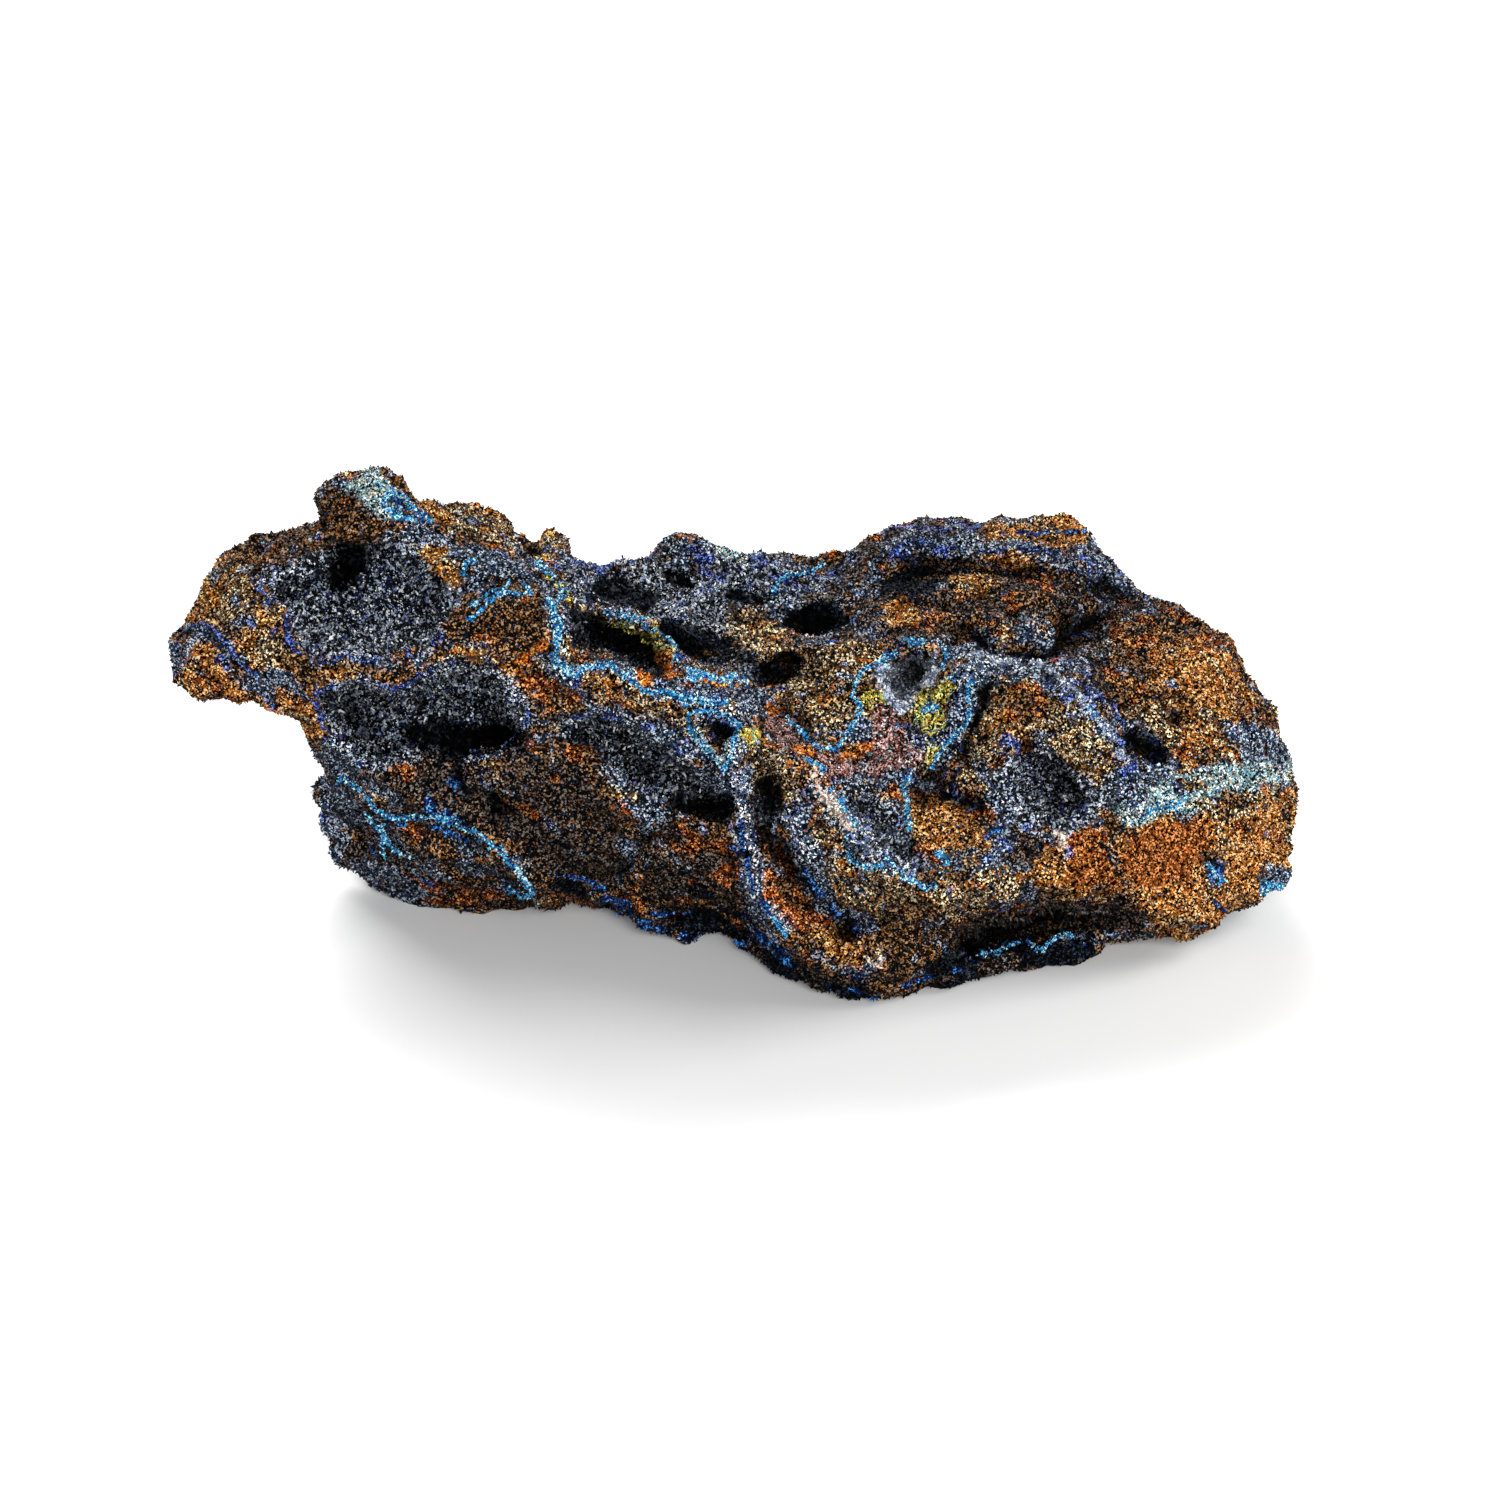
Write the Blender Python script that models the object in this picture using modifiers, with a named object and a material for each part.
"""An azurite specimen: one lump of rusty limonite rock with azurite crystal crusts in its hollows.

The rock is shaped in two sheets that meet at its outline. The seen sheet passes through landmarks
read on the photograph, each given as a pixel and a real depth. The hidden sheet is the underside
and the back. Both are fused by a voxel remesh, weathered, cut flat where the rock rests, and
thinned to a few thousand facets. Each hollow then gets its crust, a thin lining of crystal points.

Axes: +X to the viewer's right, +Y away from the viewer, +Z up. Lengths are millimetres until the
meshes are made, in metres.
"""

import math

import bmesh
import bpy
import numpy as np
from mathutils import Vector, noise
from mathutils.bvhtree import BVHTree
from mathutils.geometry import delaunay_2d_cdt

MM = 0.001

# Driving dimensions, in millimetres
ROCK_WIDTH = 110.0
OUTLINE_WIDTH_PX = 1132
PIXEL = ROCK_WIDTH / OUTLINE_WIDTH_PX
# A crust's gap to the rock, its thickness at the rim, and the least and most inside it
CRUST_GAP = 0.35
CRUST_RIM = 0.4
CRUST_LEAST = 0.5
CRUST_MOST = 1.3
# The least room to the rock's walls at a crust's foot and at its points
CRUST_FOOT_ROOM = 0.22
CRUST_ROOM = 0.5
# How much of the lowest points is cut away flat, and the bevel between underside and back
REST_CUT = 1.1
LOWER_BACK_BEVEL = 7.0
# How far in from the outline the rock reaches its full thickness, and its least thickness there
EDGE_ROUNDING = 5.0
LEAST_THICKNESS = 3.0

# The line of sight, which looks down on the rock from the front
VIEW_TILT = math.radians(25)
VIEW_DISTANCE = 620.0
VIEW_CENTRE_PX = (750.0, 750.0)
AIM = np.array((1.75, 0.0, 17.1))
TOWARDS_VIEWER = np.array((0.0, -math.cos(VIEW_TILT), math.sin(VIEW_TILT)))
PICTURE_RIGHT = np.array((1.0, 0.0, 0.0))
PICTURE_UP = np.array((0.0, math.sin(VIEW_TILT), math.cos(VIEW_TILT)))
EYE = AIM + TOWARDS_VIEWER * VIEW_DISTANCE

# Weathering, as wavelength and height: broad lumps and ledges on the hidden sides, crags and knobs
# all over, in millimetres
LUMPS = (14.0, 6.0)
LEDGES = ((13.0, 13.0, 5.0), 3.0)
CRAGS = (5.5, 0.9)
HIDDEN_CRAGS = 1.8
KNOBS = (3.0, 0.45)
# The share of its distance to the outline by which a hidden lump may stand out
OUTLINE_ROOM = 0.4

# Mesh sizes, in millimetres unless they say otherwise
SEED = 7
SHEET_STEP_PX = 7.0
ROW_STEP = SHEET_STEP_PX * math.sqrt(3) / 2
VOXEL = 0.75
ROCK_FACETS = 6950

# The outline as pixels of the photograph, each with the depth Y in millimetres of the rock there.
# It runs from the left tip over the top and back along the base.
OUTLINE = [
    (166, 649, -1), (166, 640, 0), (188, 624, 2), (203, 588, 4), (216, 562, 6), (237, 546, 8),
    (277, 530, 9), (308, 527, 9), (320, 519, 8), (311, 501, 7), (331, 486, 7), (353, 473, 7),
    (370, 459, 7), (386, 471, 8), (398, 478, 8), (420, 496, 10), (446, 511, 12), (457, 505, 13),
    (482, 506, 14), (507, 519, 14), (526, 535, 14), (535, 546, 14), (541, 534, 15), (552, 530, 15),
    (563, 538, 15), (570, 560, 15), (590, 561, 17), (604, 561, 18), (629, 563, 19), (644, 555, 20),
    (663, 549, 20), (668, 544, 20), (690, 540, 21), (706, 543, 21), (731, 554, 21), (757, 557, 21),
    (789, 555, 22), (826, 557, 22), (850, 557, 22), (857, 545, 22), (873, 536, 23), (904, 524, 23),
    (924, 518, 24), (955, 522, 24), (1005, 519, 24), (1036, 515, 24), (1064, 512, 24),
    (1082, 528, 23), (1092, 531, 23), (1100, 545, 22), (1117, 562, 21), (1124, 573, 20),
    (1139, 589, 18), (1150, 597, 17), (1163, 602, 16), (1180, 610, 15), (1196, 620, 14),
    (1223, 622, 13), (1233, 633, 12), (1241, 671, 10), (1254, 686, 9), (1267, 700, 8),
    (1280, 720, 7), (1287, 742, 6), (1294, 769, 5), (1297, 806, 4), (1294, 844, 2), (1296, 876, -1),
    (1293, 890, -3), (1277, 902, -6), (1241, 917, -9), (1205, 932, -11), (1180, 941, -12),
    (1152, 933, -11), (1129, 940, -10), (1108, 953, -11), (1101, 960, -12), (1083, 973, -14),
    (1060, 977, -15), (1021, 973, -16), (988, 983, -17), (960, 990, -18), (936, 990, -18),
    (920, 994, -19), (903, 1001, -21), (880, 1005, -22), (859, 1004, -22), (834, 999, -21),
    (813, 994, -20), (793, 984, -18), (778, 973, -16), (752, 961, -13), (734, 950, -11),
    (714, 945, -9), (700, 945, -8), (683, 950, -9), (662, 938, -7), (642, 932, -6), (629, 925, -4),
    (611, 915, -2), (596, 906, 0), (555, 904, 1), (530, 904, 0), (509, 911, -1), (453, 911, -1),
    (422, 914, -1), (402, 906, 0), (387, 899, 1), (361, 881, 3), (338, 869, 4), (331, 861, 4),
    (327, 833, 5), (322, 818, 5), (317, 790, 5), (327, 778, 4), (328, 764, -6), (313, 738, -7),
    (303, 731, -8), (300, 720, -8), (293, 708, -8), (265, 713, -7), (250, 702, -7), (222, 701, -6),
    (196, 705, -5), (180, 698, -4), (172, 688, -3), (169, 669, -2),
]

# Points inside the outline that carry the seen face: pixel, then depth Y in millimetres.
SEEN_LANDMARKS = {
    "left arm": [
        (190, 655, -4), (205, 680, -6.5), (215, 640, -4.5), (240, 620, -4), (235, 590, -1),
        (250, 680, -7.5), (275, 660, -8), (290, 690, -9.5), (262, 560, 3), (290, 548, 5),
    ],
    "peak": [
        (345, 500, 4), (375, 500, 3), (345, 530, 2.5), (385, 530, 0.5), (400, 505, 6),
        (430, 530, 3), (455, 520, 9), (500, 530, 11),
    ],
    "bowl rim": [
        (285, 615, -6), (300, 655, -9), (340, 668, -11), (385, 665, -12), (430, 653, -12),
        (462, 632, -11), (462, 595, -7), (440, 565, -3.5), (415, 550, -2), (300, 570, -1),
    ],
    "left flank": [
        (330, 700, -11), (330, 740, -9.5), (350, 770, -9), (370, 690, -13), (420, 680, -13.5),
        (380, 790, -10), (420, 775, -11.5), (470, 770, -12.5), (450, 820, -10.5),
        (520, 745, -13.5), (400, 812, -9.5), (480, 838, -10), (530, 850, -10.5),
        (535, 885, -8.5), (560, 790, -14), (600, 820, -14.5), (580, 860, -12.5),
        (640, 880, -13.5), (660, 840, -16), (710, 880, -16), (700, 850, -17.5),
        (690, 915, -12), (735, 925, -13.5),
    ],
    "lower left lump": [
        (340, 800, 2.5), (350, 840, 2.5), (366, 832, 1.5), (380, 870, 0), (405, 885, -0.5),
        (440, 898, -1.5), (475, 903, -2), (400, 832, -8.5), (440, 858, -9), (480, 878, -8.5),
        (510, 892, -6), (530, 900, -3.5), (565, 893, -3.5),
    ],
    "ribbon ridge": [
        (470, 560, -2), (500, 560, 1), (500, 600, -8), (533, 570, -1), (540, 610, -9),
        (562, 600, -7), (500, 640, -12.5), (545, 660, -12.5), (572, 655, -12),
        (590, 690, -14), (560, 695, -14.5), (630, 700, -15), (680, 720, -16),
        (640, 683, -13), (727, 715, -16), (700, 745, -18), (735, 750, -18.5),
    ],
    "back valley": [
        (560, 570, 8), (600, 585, 9), (650, 575, 13), (620, 605, 3), (680, 605, 8),
        (700, 570, 14), (740, 590, 13), (660, 640, -1), (700, 650, 0), (690, 675, -8),
        (730, 675, -5), (745, 625, 5), (780, 600, 11), (790, 575, 16), (840, 580, 16),
        (830, 610, 8), (745, 700, -10), (800, 640, 2), (760, 690, -7), (865, 625, 4),
        (585, 605, -3), (640, 622, -2), (680, 665, -7), (700, 690, -12),
    ],
    "middle shelf": [
        (830, 650, -1), (790, 700, -7), (830, 700, -7), (800, 735, -12), (830, 735, -11.5),
        (760, 735, -14), (880, 665, -4), (870, 715, -9.5), (930, 720, -8.5), (950, 690, -6),
        (850, 760, -12.5), (890, 750, -11.5), (920, 760, -12), (800, 765, -16),
        (960, 735, -11), (930, 640, 0), (900, 640, 1),
    ],
    "front bulge": [
        (760, 780, -19.5), (745, 830, -18.5), (755, 880, -18), (780, 920, -18.5), (800, 800, -20),
        (830, 850, -21.5), (870, 880, -23), (820, 900, -21), (860, 940, -23), (830, 965, -21.5),
        (900, 920, -24), (890, 970, -23.5), (930, 940, -23), (940, 970, -20.5), (940, 895, -24),
        (985, 885, -22.5), (840, 800, -18), (870, 830, -19), (910, 850, -21), (905, 800, -16.5),
        (940, 830, -19.5), (975, 850, -21), (770, 955, -15.5),
    ],
    "right lobe": [
        (975, 665, -5), (1010, 665, -5), (1050, 672, -7), (1085, 700, -10), (1110, 740, -12.5),
        (1130, 780, -14), (1010, 720, -11), (1050, 730, -12.5), (1000, 770, -15), (1070, 780, -15.5),
        (1030, 830, -17.5), (1090, 840, -17.5), (960, 780, -15.5), (1000, 850, -19.5),
        (985, 810, -17.5),
    ],
    "back dome": [
        (900, 560, 16), (960, 550, 18), (1020, 540, 20), (1070, 555, 18), (900, 600, 8),
        (950, 590, 9.5), (1010, 590, 10), (1070, 600, 8), (1100, 600, 11), (930, 620, 4),
        (990, 635, 1), (1050, 635, 2), (1110, 620, 7), (1150, 620, 10),
    ],
    "right face": [
        (1130, 660, 1), (1080, 660, 0), (1190, 660, 2), (1220, 660, 4), (1160, 700, -3),
        (1120, 700, -4), (1220, 710, -3), (1250, 730, -3), (1180, 750, -8), (1240, 770, -6),
        (1275, 780, -2), (1160, 790, -12.5), (1210, 800, -10.5), (1150, 820, -15),
        (1250, 820, -8), (1284, 830, -3), (1120, 870, -17), (1180, 860, -14.5), (1240, 860, -10),
        (1280, 870, -6), (1050, 880, -19.5), (1150, 900, -15), (1200, 900, -13), (1250, 898, -9.5),
    ],
    "right base": [
        (1000, 960, -17.5), (1050, 955, -14.5), (1090, 945, -12.5), (960, 970, -19),
        (1000, 925, -18), (1060, 925, -14), (1120, 925, -12.5), (1160, 920, -13.5),
    ],
}

# Hollows of the seen face: (rim as pixels, how deep, how wide their wall is).
SEEN_HOLLOWS = {
    "upper bowl": ([(262, 590), (293, 574), (325, 560), (342, 540), (380, 538), (408, 549),
                    (436, 570), (456, 592), (450, 626), (427, 645), (380, 654), (330, 656),
                    (302, 648), (284, 615)], 7.5, 4.2),
    "bowl pit": ([(326, 568), (348, 556), (368, 566), (366, 582), (345, 590), (328, 584)], 4.5, 1.2),
    "left cavity": ([(316, 695), (329, 683), (362, 680), (390, 684), (420, 673), (443, 663),
                     (469, 655), (489, 660), (507, 676), (517, 694), (530, 712), (520, 736),
                     (500, 748), (456, 752), (420, 746), (400, 753), (385, 766), (369, 762),
                     (350, 746), (334, 731), (323, 712)], 10.0, 2.6),
    "left cavity pit": ([(440, 738), (470, 724), (505, 722), (512, 738), (490, 749), (450, 752)],
                        5.0, 1.0),
    "long cavity": ([(547, 722), (583, 716), (629, 721), (660, 736), (690, 757), (712, 780),
                     (728, 802), (722, 812), (700, 812), (672, 800), (639, 792), (620, 775),
                     (598, 750), (565, 740)], 7.0, 2.4),
    "long cavity slot": ([(676, 795), (700, 800), (726, 800), (726, 811), (703, 812)], 5.0, 0.5),
    "ridge slot": ([(570, 608), (606, 612), (634, 620), (652, 634), (666, 654), (682, 675),
                    (668, 684), (627, 672), (598, 662), (572, 640)], 11.0, 1.0),
    "valley slot": ([(732, 653), (769, 663), (784, 654), (798, 654), (809, 668), (784, 684),
                     (768, 672)], 7.0, 0.7),
    "fin slot": ([(597, 596), (640, 600), (672, 622), (700, 636), (719, 645), (712, 653),
                  (684, 648), (655, 630), (625, 618), (600, 610)], 6.0, 1.0),
    "back slot": ([(650, 577), (668, 571), (694, 584), (688, 592), (668, 589)], 5.0, 0.7),
    "back valley": ([(592, 572), (640, 568), (680, 558), (720, 564), (765, 576), (786, 600),
                     (770, 640), (742, 648), (706, 634), (676, 618), (640, 598), (604, 592)],
                    3.0, 2.5),
    "druse channel": ([(803, 762), (838, 777), (868, 798), (900, 834), (928, 864), (918, 876),
                       (884, 862), (856, 832), (828, 800)], 5.0, 1.6),
    "valley hollow": ([(784, 616), (800, 608), (826, 606), (846, 622), (838, 636), (800, 638)],
                      6.5, 1.3),
    "round hole": ([(713, 724), (722, 719), (732, 726), (732, 737), (722, 743), (714, 736)],
                   5.0, 0.7),
    "middle pocket": ([(878, 678), (896, 666), (913, 654), (938, 655), (937, 674), (913, 699),
                       (902, 708), (878, 694)], 5.0, 1.2),
    "lobe hollow": ([(1016, 750), (1037, 738), (1057, 753), (1083, 770), (1094, 795),
                     (1078, 822), (1052, 826), (1028, 806)], 5.5, 2.0),
    "crest recess": ([(1124, 738), (1140, 728), (1160, 738), (1166, 756), (1150, 764)], 6.0, 1.0),
    "back dome hollow": ([(1092, 580), (1110, 577), (1130, 588), (1128, 600), (1100, 600)], 5.0, 1.0),
    "dome shelf": ([(866, 570), (900, 560), (960, 556), (1030, 560), (1066, 575), (1050, 592),
                    (980, 600), (890, 592)], 4.5, 1.8),
    "front undercut": ([(948, 926), (986, 917), (1024, 898), (1052, 900), (1093, 903),
                        (1129, 908), (1144, 922), (1116, 930), (1065, 936), (1024, 946),
                        (975, 962), (952, 962)], 8.0, 1.6),
    "left undercut": ([(655, 912), (680, 902), (716, 898), (745, 906), (768, 926), (760, 946),
                       (700, 938), (668, 930)], 4.5, 1.6),
    "arch": ([(539, 884), (556, 877), (584, 877), (600, 888), (597, 899), (545, 899)], 5.5, 0.9),
    "tongue slot": ([(946, 797), (953, 789), (972, 795), (992, 802), (985, 807), (960, 804)],
                    5.5, 0.6),
    "bulge hole": ([(764, 792), (771, 791), (780, 806), (776, 816), (768, 808)], 4.5, 0.5),
}

# Grooves of the seen face: (points as pixels, how deep, how wide).
SEEN_GROOVES = {
    "dome crack": ([(958, 640), (985, 652), (1048, 660), (1062, 645), (1082, 626), (1106, 616)],
                   7.6, 3.1),
    "lobe side": ([(1096, 690), (1112, 714), (1128, 738)], 5.0, 2.6),
    "bulge groove": ([(754, 786), (770, 830), (790, 858), (810, 882), (830, 902), (856, 928)],
                     5.4, 3.0),
    "tongue side": ([(984, 700), (975, 726), (955, 752), (932, 778), (915, 800)], 4.6, 2.6),
    "left crack": ([(449, 752), (457, 775), (468, 792)], 2.4, 1.7),
    "edge crack": ([(405, 818), (430, 822), (455, 832), (480, 842)], 3.6, 2.0),
    "shelf step": ([(744, 688), (775, 700), (800, 745)], 3.6, 2.8),
}

# Ridges of the seen face: (points as pixels, how high, how wide).
SEEN_RIDGES = {
    "peak band": ([(372, 474), (400, 500), (430, 522), (470, 548), (515, 566)], 2.8, 3.8),
    "ribbon edge": ([(535, 565), (564, 593), (557, 625), (572, 676), (600, 667), (642, 690),
                     (727, 708)], 3.8, 2.7),
    "fin": ([(588, 612), (628, 618), (655, 642), (676, 666), (706, 680)], 3.7, 2.4),
    "pillar": ([(735, 750), (739, 800), (750, 860), (768, 905), (792, 944), (815, 962)], 4.0, 2.9),
    "blade": ([(796, 762), (816, 770), (842, 806), (866, 842), (896, 868)], 4.3, 2.7),
    "ledge lip": ([(868, 868), (905, 878), (944, 893), (978, 886), (990, 862)], 3.4, 2.7),
    "lobe crest": ([(948, 662), (1000, 657), (1052, 663), (1082, 688), (1104, 722), (1124, 756)],
                   4.2, 3.3),
    "tongue rim": ([(969, 690), (966, 716), (950, 740), (930, 768)], 2.8, 2.4),
    "orange brow": ([(1000, 905), (1050, 890), (1100, 894), (1140, 902), (1190, 915)], 3.0, 3.8),
    "lower edge": ([(366, 790), (400, 808), (440, 812), (480, 832), (520, 868), (536, 890)],
                   3.7, 2.7),
    "shelf rim": ([(786, 650), (830, 636), (880, 632), (930, 636)], 2.8, 2.4),
    "dome ledge": ([(858, 566), (905, 548), (960, 548), (1050, 552), (1085, 566)], 3.1, 2.7),
    "base edge": ([(615, 905), (650, 918), (690, 926)], 2.0, 2.4),
}

# The hidden side by X in millimetres: the height of the underside, and the depth of the back wall.
UNDERSIDE = [(-56, 25), (-45, 22.5), (-41, 17), (-38.5, 6), (-35, 1.2), (-28, 0), (38, 0),
             (48, 2.2), (56, 5.5)]
BACK_WALL = [(-56, 6), (-46, 13), (-36, 15), (-25, 19), (-12, 23), (5, 26), (20, 28), (36, 27),
             (44, 21), (50, 14), (56, 8)]

# Hollows of the back and the ends: (centre, radii along X, Y and Z, how deep).
BACK_HOLLOWS = {
    "back bowl": ((14, 25, 17), (14, 11, 10), 6.5),
    "back pocket": ((-17, 20, 22), (11, 10, 9.5), 6.0),
    "back ledge": ((-4, 22, 7), (12, 8, 5), 3.2),
    "right end dimple": ((54, 3, 15), (5, 7, 6), 2.0),
    "right back dimple": ((38, 22, 12), (8, 8, 7), 3.0),
    "underside arch": ((2, 6, 0), (30, 14, 9), 3.0),
    "front underside arch": ((-10, -6, 0), (14, 9, 7), 2.5),
    "right underside arch": ((32, 2, 0), (10, 10, 7), 2.0),
    "arm back dimple": ((-42, 11, 30), (7, 6, 5), 2.2),
    "left end dimple": ((-41, 3, 12), (6, 6, 5), 2.5),
}
# Ridges of the back: (two ends, how high, how wide).
BACK_RIDGES = {
    "back rib": (((-8, 21, 29), (-2, 23, 3)), 2.4, 4.0),
    "right back rib": (((31, 26, 27), (28, 25, 4)), 2.2, 4.5),
    "left back rib": (((-31, 16, 36), (-27, 17, 4)), 2.0, 4.0),
    "back shelf": (((4, 25, 26), (30, 26, 23)), 1.6, 3.0),
}

# The seen hollows that are lined with a crust, and how far inside its rim a crust starts, in pixels
CRUSTED = ["upper bowl", "left cavity", "long cavity", "ridge slot", "back valley",
           "middle pocket", "lobe hollow", "druse channel", "front undercut"]
CRUST_INSET_PX = 3
# The hollows of the back that are lined, and how much of their reach the crust takes
BACK_CRUSTED = ["back bowl", "back pocket"]
BACK_CRUST_SHARE = 0.72


def sight_lines(pixels):
    """The direction from the eye through each pixel, as long as the eye is from the aim."""
    across = (pixels[:, 0:1] - VIEW_CENTRE_PX[0]) * PIXEL
    upwards = (VIEW_CENTRE_PX[1] - pixels[:, 1:2]) * PIXEL
    return -TOWARDS_VIEWER * VIEW_DISTANCE + across * PICTURE_RIGHT + upwards * PICTURE_UP


def rise_at_depth(pixels, depth):
    """How far towards the viewer the sight line of each pixel meets the depth Y."""
    return VIEW_DISTANCE * (1 - (depth - EYE[1]) / sight_lines(pixels)[:, 1])


def place(pixels, rise):
    """The points on the sight lines of these pixels at this rise."""
    return EYE + sight_lines(pixels) * (1 - rise / VIEW_DISTANCE)[:, None]


def pixels_of(points):
    """The pixels at which these points are seen."""
    ray = points - EYE
    scale = VIEW_DISTANCE / (ray @ -TOWARDS_VIEWER)
    across = (ray @ PICTURE_RIGHT) * scale / PIXEL
    upwards = (ray @ PICTURE_UP) * scale / PIXEL
    return np.stack([VIEW_CENTRE_PX[0] + across, VIEW_CENTRE_PX[1] - upwards], axis=1)


def segment_distance(points, a, b):
    """The distance of each point to the segment from a to b, in any number of dimensions."""
    way = b - a
    share = np.clip((points - a) @ way / max(way @ way, 1e-9), 0, 1)
    return np.linalg.norm(points - (a + share[:, None] * way), axis=1)


def path_distance(points, path, closed=False):
    path = np.array(path, float)
    ends = np.roll(path, -1, axis=0) if closed else path[1:]
    return np.min([segment_distance(points, a, b) for a, b in zip(path, ends)], axis=0)


def inside(points, polygon):
    """Whether each point lies in the polygon, by counting the edges to its right."""
    found = np.zeros(len(points), bool)
    polygon = np.array(polygon, float)
    for (x0, y0), (x1, y1) in zip(polygon, np.roll(polygon, -1, axis=0)):
        crosses = (y0 > points[:, 1]) != (y1 > points[:, 1])
        if y0 != y1:
            at = x0 + (points[:, 1] - y0) * (x1 - x0) / (y1 - y0)
            found ^= crosses & (points[:, 0] < at)
    return found


def smooth_step(value):
    value = np.clip(value, 0, 1)
    return value * value * (3 - 2 * value)


def round_step(value):
    """Rises steeply at first and levels off, as the wall of a bowl does."""
    value = np.clip(value, 0, 1)
    return np.sqrt(1 - (1 - value) ** 2)


def spline_through(landmarks, values):
    """A smooth surface over the picture that passes through the landmarks' values."""
    def kernel(a, b):
        return np.linalg.norm(a[:, None] - b[None], axis=2)

    count = len(landmarks)
    tail = np.hstack([np.ones((count, 1)), landmarks])
    system = np.zeros((count + 3, count + 3))
    system[:count, :count] = kernel(landmarks, landmarks)
    system[:count, count:] = tail
    system[count:, :count] = tail.T
    weights = np.linalg.solve(system, np.append(values, np.zeros(3)))

    def surface(pixels):
        flat = np.hstack([np.ones((len(pixels), 1)), pixels])
        return kernel(pixels, landmarks) @ weights[:count] + flat @ weights[count:]

    return surface


def seen_rise(pixels, base):
    """The seen face: the spline with its hollows, grooves and ridges."""
    rise = base(pixels)
    for rim, deep, wall in SEEN_HOLLOWS.values():
        reach = path_distance(pixels, rim, closed=True) * PIXEL / wall
        rise -= deep * round_step(reach) * inside(pixels, rim)
    for path, deep, wide in SEEN_GROOVES.values():
        rise -= deep * smooth_step(1 - path_distance(pixels, path) * PIXEL / wide)
    for path, high, wide in SEEN_RIDGES.values():
        rise += high * np.clip(1 - path_distance(pixels, path) * PIXEL / wide, 0, 1)
    return rise


def leaving_rise(pixels):
    """Where each sight line leaves the rock, through its underside or its back."""
    line = sight_lines(pixels)
    under = np.array(UNDERSIDE, float)
    back = np.array(BACK_WALL, float)
    x = (EYE + line)[:, 0]
    floor = np.interp(x, under[:, 0], under[:, 1])
    wall = np.interp(x, back[:, 0], back[:, 1])
    through_floor = (floor - EYE[2]) / line[:, 2]
    through_wall = (wall - EYE[1]) / line[:, 1]
    through_bevel = (wall - floor - LOWER_BACK_BEVEL - EYE[1] + EYE[2]) / (line[:, 1] - line[:, 2])
    first = np.min([through_floor, through_wall, through_bevel], axis=0)
    return VIEW_DISTANCE * (1 - first)


def sheet_layout():
    """The outline's points, a grid of points inside it, and triangles over them all."""
    outline = np.array([(x, y) for x, y, _ in OUTLINE], float)
    loop = []
    for a, b in zip(outline, np.roll(outline, -1, axis=0)):
        parts = max(1, round(np.linalg.norm(b - a) / SHEET_STEP_PX))
        loop += [a + (b - a) * k / parts for k in range(parts)]
    loop = np.array(loop)
    low, high = outline.min(0), outline.max(0)
    rows = np.arange(low[1], high[1], ROW_STEP)
    grid = [(x + (k % 2) * SHEET_STEP_PX / 2, y) for k, y in enumerate(rows)
            for x in np.arange(low[0], high[0], SHEET_STEP_PX)]
    grid = np.array(grid)
    grid = grid[inside(grid, outline) & (path_distance(grid, loop, closed=True) > SHEET_STEP_PX / 2)]
    every = np.vstack([loop, grid])
    edges = [(k, (k + 1) % len(loop)) for k in range(len(loop))]
    points, _, faces, *_ = delaunay_2d_cdt([Vector(p) for p in every], edges, [], 1, 1e-4)
    return np.array([tuple(p) for p in points]), faces, loop


def rough_rock():
    """The closed skin of the rock: the seen sheet and the hidden one, joined at the outline."""
    marks = np.array(OUTLINE + [m for group in SEEN_LANDMARKS.values() for m in group], float)
    base = spline_through(marks[:, :2], rise_at_depth(marks[:, :2], marks[:, 2]))
    pixels, faces, loop = sheet_layout()
    edge_distance = path_distance(pixels, loop, closed=True) * PIXEL
    on_edge = edge_distance < 1e-3
    rise = np.where(on_edge, base(pixels), seen_rise(pixels, base))
    thickness = np.maximum(rise - leaving_rise(pixels), LEAST_THICKNESS)
    thickness *= round_step(edge_distance / EDGE_ROUNDING)
    seen = place(pixels, rise)
    hidden = place(pixels[~on_edge], (rise - thickness)[~on_edge])
    number = np.arange(len(pixels))
    number[~on_edge] = len(pixels) + np.arange(len(hidden))
    skin = bpy.data.meshes.new("skin")
    back_faces = [[int(number[k]) for k in reversed(f)] for f in faces]
    skin.from_pydata(np.vstack([seen, hidden]) * MM, [], [list(f) for f in faces] + back_faces)
    bm = bmesh.new()
    bm.from_mesh(skin)
    bmesh.ops.recalc_face_normals(bm, faces=bm.faces)
    bm.to_mesh(skin)
    bm.free()
    return skin


def evaluated(obj):
    """The object's mesh with its modifiers applied, in place of what it had."""
    graph = bpy.context.evaluated_depsgraph_get()
    mesh = bpy.data.meshes.new_from_object(obj.evaluated_get(graph))
    obj.modifiers.clear()
    obj.data = mesh
    return mesh


def vertices_of(mesh):
    flat = np.empty(len(mesh.vertices) * 3)
    mesh.vertices.foreach_get("co", flat)
    return flat.reshape(-1, 3) / MM


def normals_of(mesh):
    flat = np.empty(len(mesh.vertices) * 3, np.float32)
    mesh.vertices.foreach_get("normal", flat)
    return flat.reshape(-1, 3).astype(float)


def move_vertices(mesh, points):
    mesh.vertices.foreach_set("co", (points * MM).astype(np.float32).ravel())
    mesh.update()


def hidden_share(normals):
    """How far each normal is turned from the viewer: none at the outline, whole behind it."""
    return smooth_step((normals @ -TOWARDS_VIEWER - 0.15) / 0.5)


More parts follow.
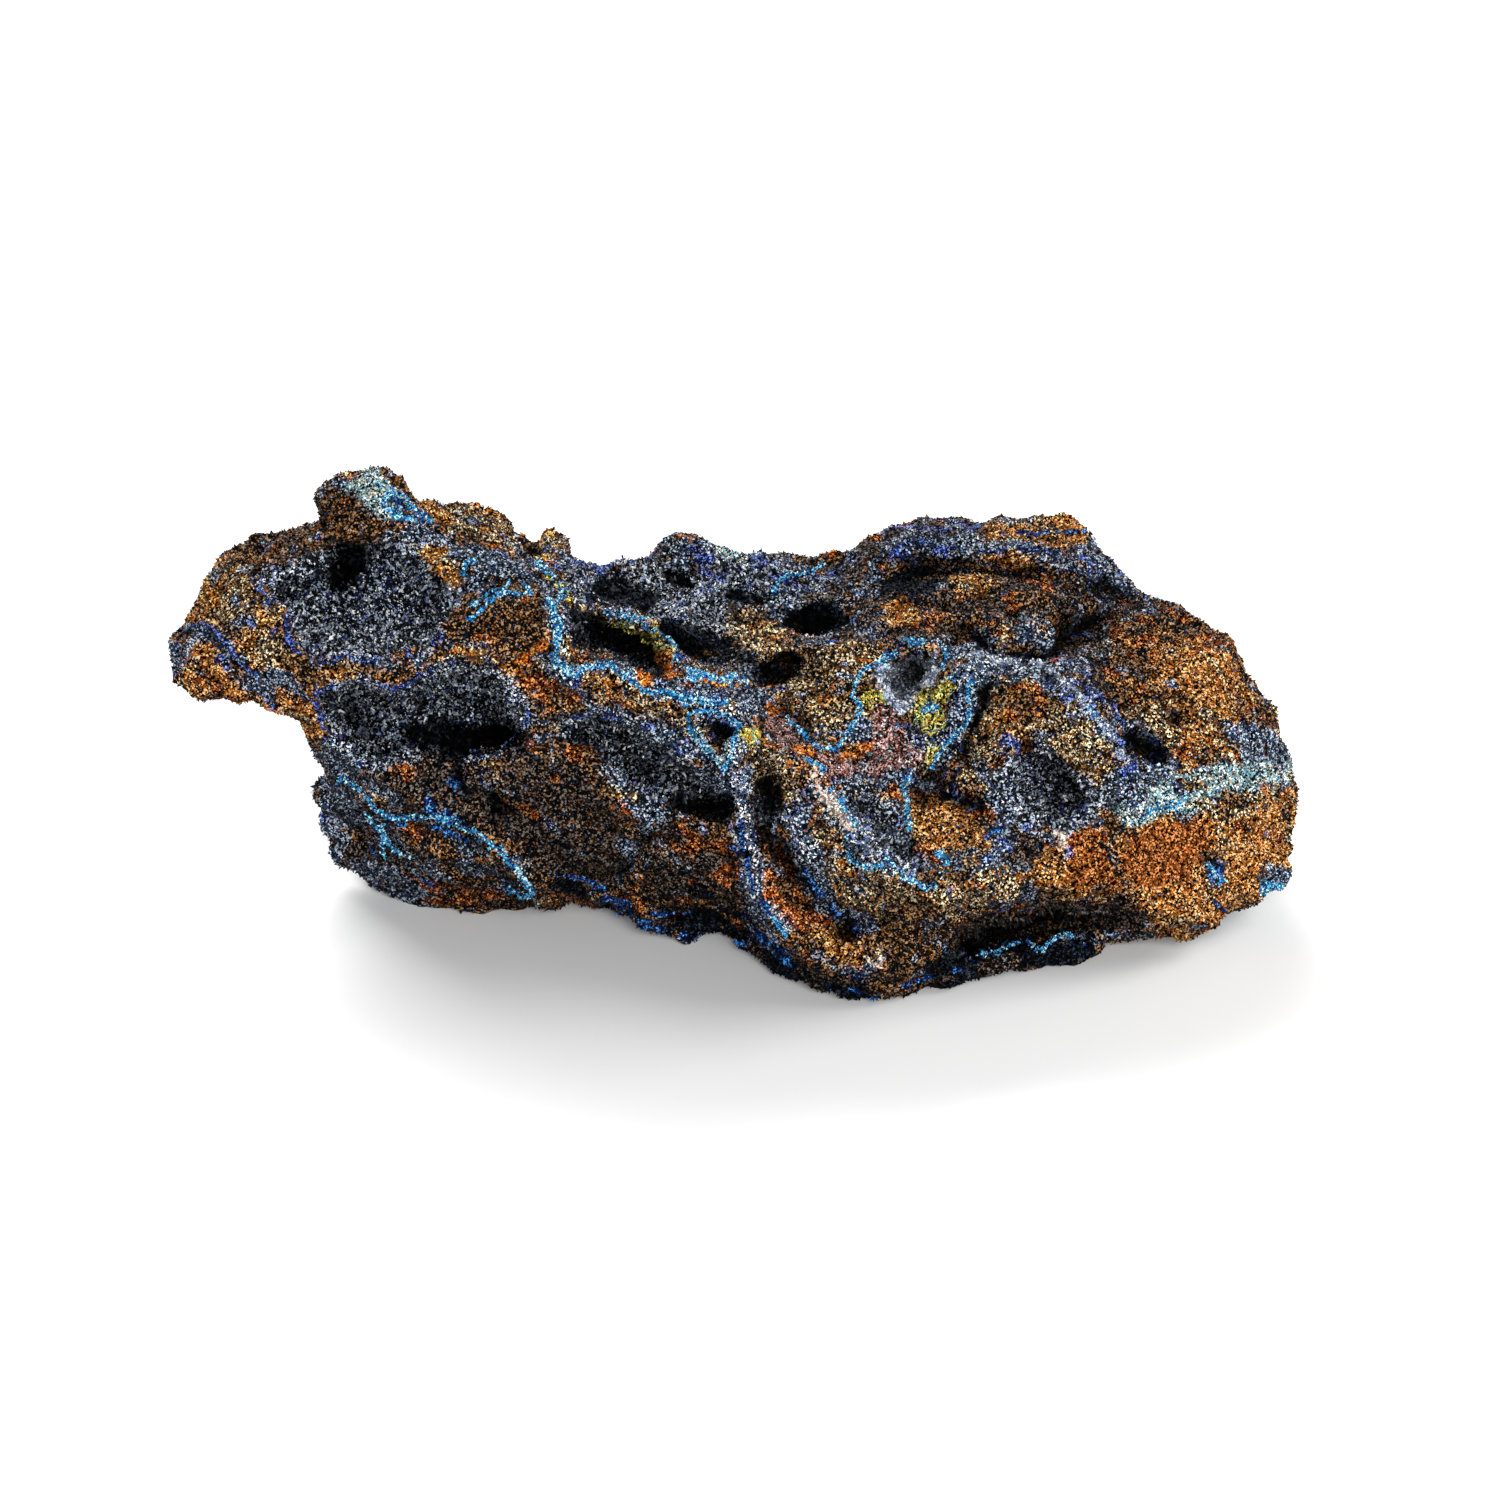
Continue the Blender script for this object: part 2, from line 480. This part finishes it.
def room_to_outline(points):
    """How far each point can be raised before it may show past the outline."""
    outline = [(x, y) for x, y, _ in OUTLINE]
    pixels = pixels_of(points)
    within = path_distance(pixels, outline, closed=True) * inside(pixels, outline)
    return within * PIXEL * OUTLINE_ROOM


def carve_back(mesh):
    """The hidden sides' hollows and ribs."""
    points, normals = vertices_of(mesh), normals_of(mesh)
    shift = np.zeros(len(points))
    for centre, radii, deep in BACK_HOLLOWS.values():
        reach = np.linalg.norm((points - centre) / np.array(radii, float), axis=1)
        shift -= deep * smooth_step((1 - reach) * 2.2)
    for (a, b), high, wide in BACK_RIDGES.values():
        reach = segment_distance(points, np.array(a, float), np.array(b, float))
        shift += high * smooth_step(1 - reach / wide)
    shift = np.minimum(shift * hidden_share(normals), room_to_outline(points))
    move_vertices(mesh, points + normals * shift[:, None])


def noise_at(points, wavelength, offset):
    """Smooth noise between about -0.5 and 0.5 at each point."""
    return np.array([noise.noise(Vector(p)) for p in points / wavelength + offset])


def weather(mesh):
    """Lumps and ledges on the hidden sides, and small crags and knobs over the whole skin."""
    points, normals = vertices_of(mesh), normals_of(mesh)
    lump = noise_at(points, LUMPS[0], 0)
    ledge = 0.4 - abs(noise_at(points, LEDGES[0], (0, 7.3, 0)))
    crag = 0.3 - abs(noise_at(points, CRAGS[0], (4, 9, 2)))
    knob = noise_at(points, KNOBS[0], (11, 3, 5))
    hidden = lump * LUMPS[1] + ledge * LEDGES[1] + crag * HIDDEN_CRAGS
    upward = 1 - np.clip(-normals[:, 2] * 1.5, 0, 1)
    shift = np.minimum(hidden * hidden_share(normals), room_to_outline(points) * upward)
    shift += crag * CRAGS[1] + knob * KNOBS[1]
    move_vertices(mesh, points + normals * shift[:, None])


def add_object(name, mesh, collection):
    obj = bpy.data.objects.new(name, mesh)
    collection.objects.link(obj)
    return obj


def finish(obj, name, colour, roughness):
    """Gives the object its own material."""
    material = bpy.data.materials.new(name)
    material.use_nodes = True
    shader = material.node_tree.nodes["Principled BSDF"]
    shader.inputs["Base Color"].default_value = (*colour, 1)
    shader.inputs["Roughness"].default_value = roughness
    shader.inputs["Metallic"].default_value = 0
    obj.data.materials.clear()
    obj.data.materials.append(material)


def remesh(obj):
    even = obj.modifiers.new("even", "REMESH")
    even.mode = "VOXEL"
    even.voxel_size = VOXEL * MM
    return evaluated(obj)


def rest_cutter(top, collection):
    """A slab whose upper face is the level on which the rock rests."""
    bpy.ops.mesh.primitive_cube_add(size=1, location=(0, 0, top - 0.025))
    slab = bpy.context.object
    slab.name = "rest_cutter"
    slab.scale = (0.3, 0.3, 0.05)
    slab.hide_render = True
    slab.display_type = "WIRE"
    for other in list(slab.users_collection):
        other.objects.unlink(slab)
    collection.objects.link(slab)
    return slab


def make_rock(collection, cutters):
    rock = add_object("limonite_matrix", rough_rock(), collection)
    carve_back(remesh(rock))
    weather(remesh(rock))
    rock.data.calc_loop_triangles()
    thin = rock.modifiers.new("thin", "DECIMATE")
    thin.ratio = ROCK_FACETS / len(rock.data.loop_triangles)
    lowest = vertices_of(evaluated(rock))[:, 2].min()
    rest = rock.modifiers.new("rest", "BOOLEAN")
    rest.operation = "DIFFERENCE"
    rest.object = rest_cutter((lowest + REST_CUT) * MM, cutters)
    evaluated(rock)
    finish(rock, "limonite", (0.30, 0.19, 0.10), 0.9)
    return rock


def hollow_lining(rock, chosen):
    """The rock's chosen facets as an open surface, lifted off it by the gap."""
    bm = bmesh.new()
    bm.from_mesh(rock.data)
    bmesh.ops.triangulate(bm, faces=bm.faces)
    bm.normal_update()
    wanted = chosen(np.array([f.calc_center_median() for f in bm.faces]) / MM,
                    np.array([f.normal for f in bm.faces]))
    kept = evened({f for f, keep in zip(bm.faces, wanted) if keep}, bm)
    bmesh.ops.delete(bm, geom=[f for f in bm.faces if f not in kept], context="FACES")
    keep_largest(bm)
    part_pinches(bm)
    drop_crowded(bm, BVHTree.FromObject(rock, bpy.context.evaluated_depsgraph_get()))
    lifted = [v.co + v.normal * CRUST_GAP * MM for v in bm.verts]
    for v, place_above in zip(bm.verts, lifted):
        v.co = place_above
    rim = [v.is_boundary for v in bm.verts]
    mesh = bpy.data.meshes.new("lining")
    bm.to_mesh(mesh)
    bm.free()
    return mesh, rim


def make_crust(name, rock, chosen, collection, chance):
    """A shell over the lining: thin at its rim, with points of uneven height inside it."""
    mesh, rim = hollow_lining(rock, chosen)
    crust = add_object(name, mesh, collection)
    heights = crust.vertex_groups.new(name="crystal height")
    for k, at_rim in enumerate(rim):
        height = CRUST_RIM if at_rim else chance.uniform(CRUST_LEAST, CRUST_MOST)
        heights.add([k], height / CRUST_MOST, "REPLACE")
    shell = crust.modifiers.new("shell", "SOLIDIFY")
    shell.thickness = CRUST_MOST * MM
    shell.offset = 1
    shell.vertex_group = heights.name
    evaluated(crust)
    finish(crust, "azurite", (0.03, 0.05, 0.16), 0.3)


def evened(kept, bm):
    """The kept faces with notches filled and spikes dropped."""
    for _ in range(3):
        around = {f: sum(o in kept for e in f.edges for o in e.link_faces if o is not f)
                  for f in bm.faces}
        kept = {f for f, count in around.items() if count >= 2}
    return kept


def keep_largest(bm):
    """Keeps the largest connected patch of faces."""
    patches = parted(bm.faces, lambda edge: True)
    largest = max(patches, key=len)
    gone = [f for patch in patches if patch is not largest for f in patch]
    bmesh.ops.delete(bm, geom=gone, context="FACES")


def parted(faces, crosses):
    """The faces as lists of those that hang together over edges that may be crossed."""
    left = dict.fromkeys(faces)
    patches = []
    while left:
        patch = [left.popitem()[0]]
        for face in patch:
            around = [other for edge in face.edges if crosses(edge) for other in edge.link_faces]
            for other in around:
                if other in left:
                    del left[other]
                    patch.append(other)
        patches.append(patch)
    return patches


def part_pinches(bm):
    """Where two fans of faces meet at one vertex of the rim, the smaller fan goes."""
    while True:
        pinched = next((v for v in bm.verts if sum(e.is_boundary for e in v.link_edges) > 2), None)
        if pinched is None:
            return
        fans = parted(pinched.link_faces, lambda edge: pinched in edge.verts)
        smaller = sorted(fans, key=len)[:-1]
        bmesh.ops.delete(bm, geom=[f for fan in smaller for f in fan], context="FACES")
        keep_largest(bm)


def is_crowded(face, walls):
    """Whether the crust above this facet would come too near a wall of the rock."""
    for height, room in ((CRUST_GAP, CRUST_FOOT_ROOM), (CRUST_GAP + CRUST_MOST, CRUST_ROOM)):
        corners = [v.co + v.normal * height * MM for v in face.verts]
        middles = [(a + b) / 2 for a, b in zip(corners, corners[1:] + corners[:1])]
        for spot in corners + middles + [sum(corners, Vector()) / len(corners)]:
            if walls.find_nearest(spot)[3] < room * MM:
                return True
    return False


def drop_crowded(bm, walls):
    """Drops the facets above which a crust has too little room."""
    while True:
        bm.normal_update()
        crowded = [f for f in bm.faces if is_crowded(f, walls)]
        if not crowded:
            return
        bmesh.ops.delete(bm, geom=crowded, context="FACES")
        keep_largest(bm)
        part_pinches(bm)


def make_crusts(rock, collection):
    def in_seen_hollow(rim):
        def chosen(centres, normals):
            pixels = pixels_of(centres)
            well_in = path_distance(pixels, rim, closed=True) > CRUST_INSET_PX
            return inside(pixels, rim) & well_in & (normals @ TOWARDS_VIEWER > 0)
        return chosen

    def in_back_hollow(centre, radii):
        def chosen(centres, normals):
            reach = np.linalg.norm((centres - centre) / np.array(radii, float), axis=1)
            return (reach < BACK_CRUST_SHARE) & (normals[:, 1] > 0)
        return chosen

    choices = {name: in_seen_hollow(SEEN_HOLLOWS[name][0]) for name in CRUSTED}
    choices |= {name: in_back_hollow(*BACK_HOLLOWS[name][:2]) for name in BACK_CRUSTED}
    chance = np.random.default_rng(SEED)
    for name, chosen in choices.items():
        make_crust("azurite_crust_" + name.replace(" ", "_"), rock, chosen, collection, chance)


def centre_on_base(collection):
    """Moves the meshes so that the origin is under the middle of the whole, at its base."""
    every = np.vstack([vertices_of(o.data) for o in collection.objects])
    low, high = every.min(0), every.max(0)
    shift = -np.array([(low[0] + high[0]) / 2, (low[1] + high[1]) / 2, low[2]])
    for obj in collection.objects:
        move_vertices(obj.data, vertices_of(obj.data) + shift)
    print("moved by, mm:", shift.round(3).tolist(), "size, mm:", (high - low).round(2).tolist())
    return shift


def main():
    for obj in list(bpy.data.objects):
        bpy.data.objects.remove(obj)
    specimen = bpy.data.collections.new("azurite_specimen")
    cutters = bpy.data.collections.new("cutters")
    bpy.context.scene.collection.children.link(specimen)
    bpy.context.scene.collection.children.link(cutters)
    rock = make_rock(specimen, cutters)
    make_crusts(rock, specimen)
    return centre_on_base(specimen)


SHIFT = main()
